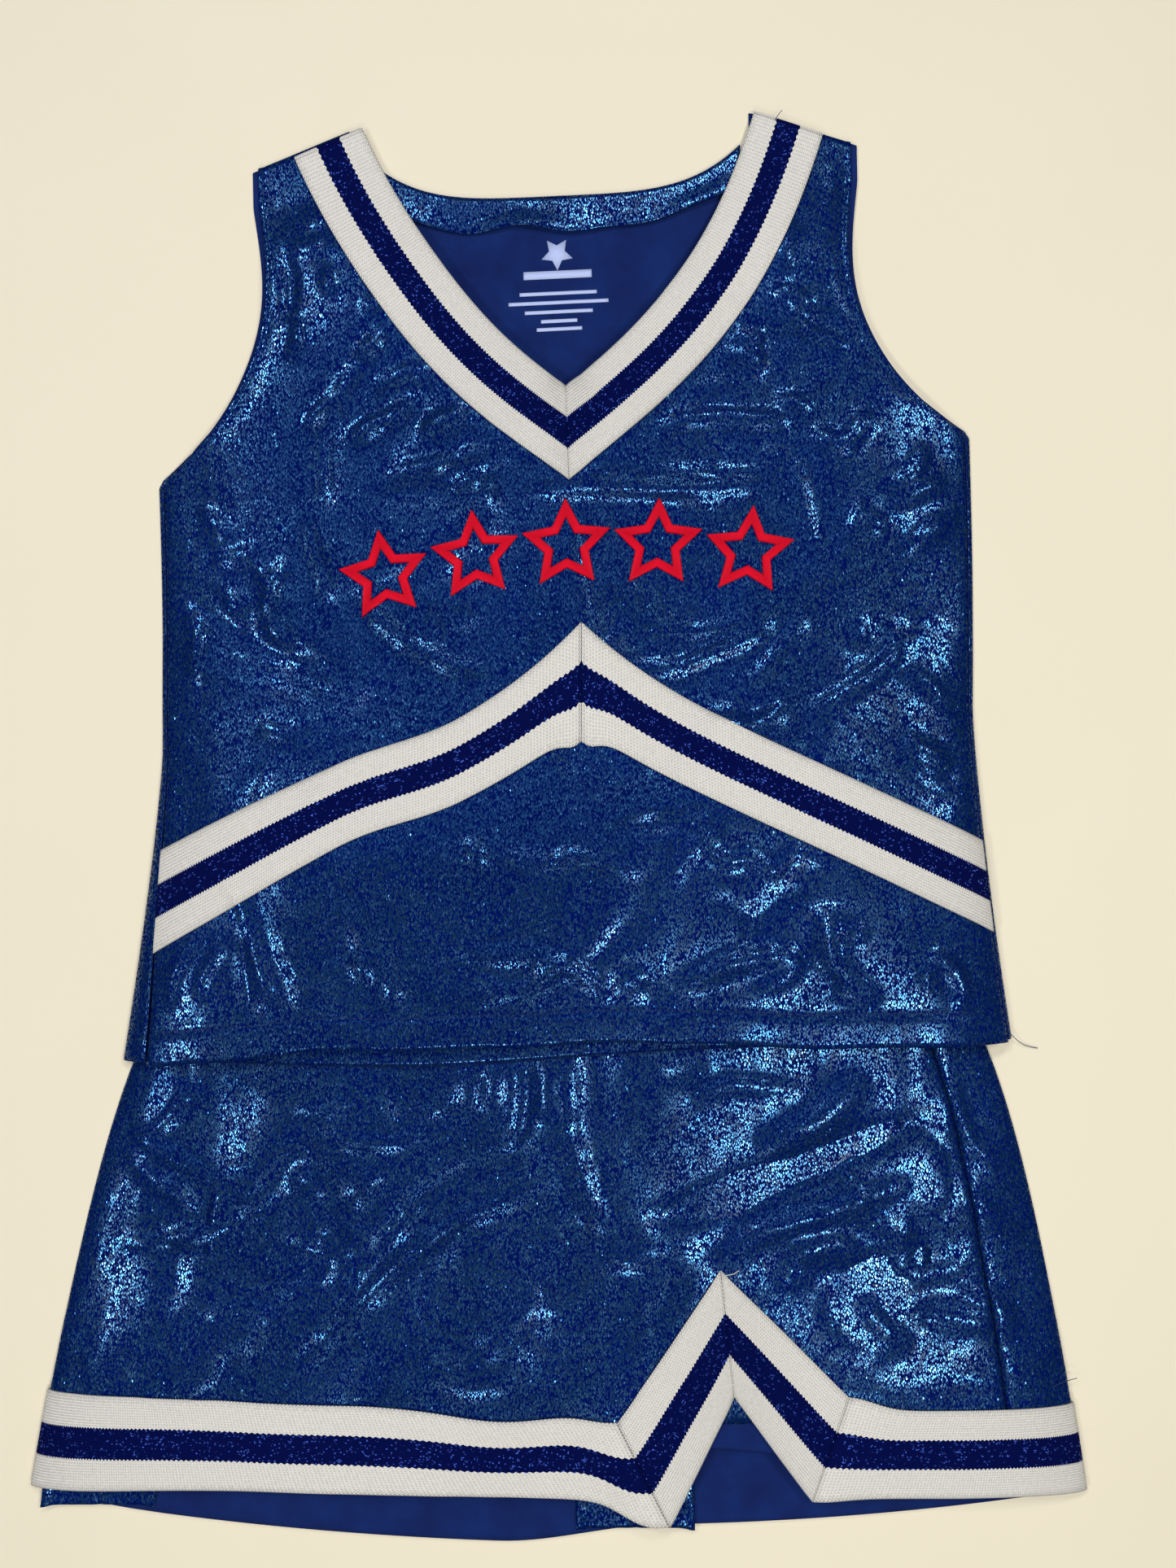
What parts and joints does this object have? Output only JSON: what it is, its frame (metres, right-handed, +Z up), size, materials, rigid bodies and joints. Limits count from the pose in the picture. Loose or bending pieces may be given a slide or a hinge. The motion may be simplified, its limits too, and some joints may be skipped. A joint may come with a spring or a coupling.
{
  "type": "cheer uniform",
  "caption": "Two-piece cheer uniform lying flat: a sleeveless V-neck shell top with striped braid and a chest motif, over an A-line skirt with a notched hem and built-in shorts.",
  "frame": {"origin": "centre of the base of the uniform's bounding box, on the surface it lies on", "axes": "+X across the garment to the viewer's right, +Y from the hems to the shoulders, +Z up from the surface"},
  "size_m": [0.4564, 0.6168, 0.0166],
  "materials": {
    "sparkle": "navy stretch knit with a foil-dot face",
    "braid": "knitted braid, three stripes: white, royal with glitter, white",
    "thread": "red satin-stitch embroidery thread",
    "plain": "dull navy knit",
    "elastic": "woven elastic",
    "print": "pale heat-transfer print"
  },
  "bodies": {
    "skirt": {"skirt_front_panel": "sparkle", "skirt_back_panel_right": "sparkle", "skirt_back_panel_left": "sparkle", "hem_braid_left": "braid", "hem_braid_right": "braid", "notch_braid_left": "braid", "notch_braid_right": "braid", "waistband": "sparkle", "waist_elastic": "elastic", "shorts_front_panel": "sparkle", "shorts_back_panel": "sparkle", "shorts_gusset": "plain", "leg_band_left": "sparkle", "leg_band_right": "sparkle"},
    "shell": {"shell_front_panel": "sparkle", "shell_back_panel": "sparkle", "back_neck_facing": "sparkle", "neck_label": "print", "neck_braid_left": "braid", "neck_braid_right": "braid", "chevron_braid_left": "braid", "chevron_braid_right": "braid", "chest_star_1": "thread", "chest_star_2": "thread", "chest_star_3": "thread", "chest_star_4": "thread", "chest_star_5": "thread"}
  },
  "joints": [
    {"name": "shell_lift", "type": "slide", "parent": "skirt", "child": "shell", "axis": [0, 0, 1], "range_m": [0, 0.12]}
  ]
}
